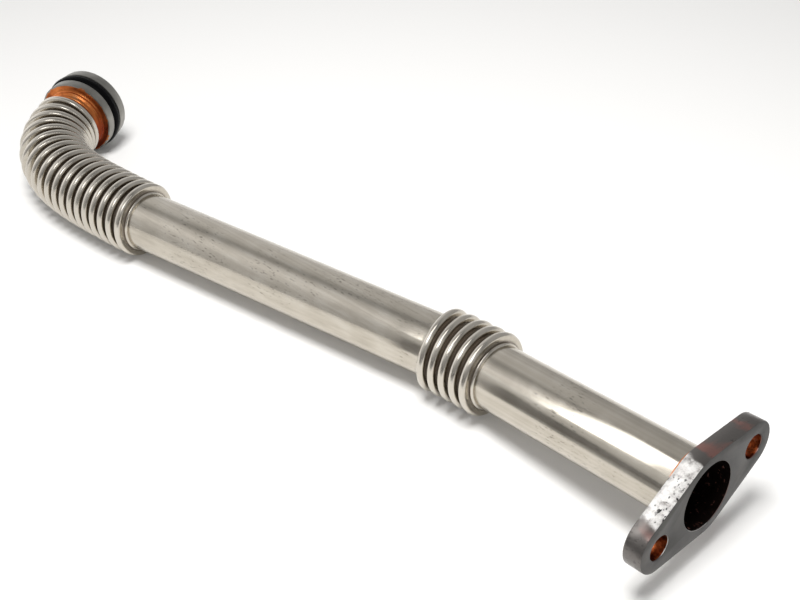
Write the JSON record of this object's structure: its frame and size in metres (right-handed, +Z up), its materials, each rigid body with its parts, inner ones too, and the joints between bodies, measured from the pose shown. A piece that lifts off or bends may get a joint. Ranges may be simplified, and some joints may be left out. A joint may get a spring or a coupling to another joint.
{
  "type": "exhaust gas recirculation pipe",
  "caption": "Stainless exhaust gas recirculation pipe with bellows, a flexed elbow, a bolted flange and an end collar with a seal ring.",
  "frame": {"origin": "centre of the flange's mating face, on the axis of its bore", "axes": "+X along the pipe towards the flange, midway between the directions of its two straight runs; +Z up from the surface that it lies on"},
  "size_m": [0.3936, 0.0833, 0.0417],
  "materials": {
    "stainless_tube": "bright drawn stainless tube, satin on the bellows",
    "flange_steel": "rough grey plate, heat-tinted",
    "turned_steel": "turned, satin grey",
    "copper_braze": "copper braze as it flowed",
    "seal_rubber": "moulded black rubber"
  },
  "bodies": {
    "root": {"pipe": "stainless_tube", "flange": "flange_steel", "flange_braze": "copper_braze", "end_collar": "turned_steel", "collar_braze": "copper_braze", "seal_ring": "seal_rubber"}
  },
  "joints": []
}
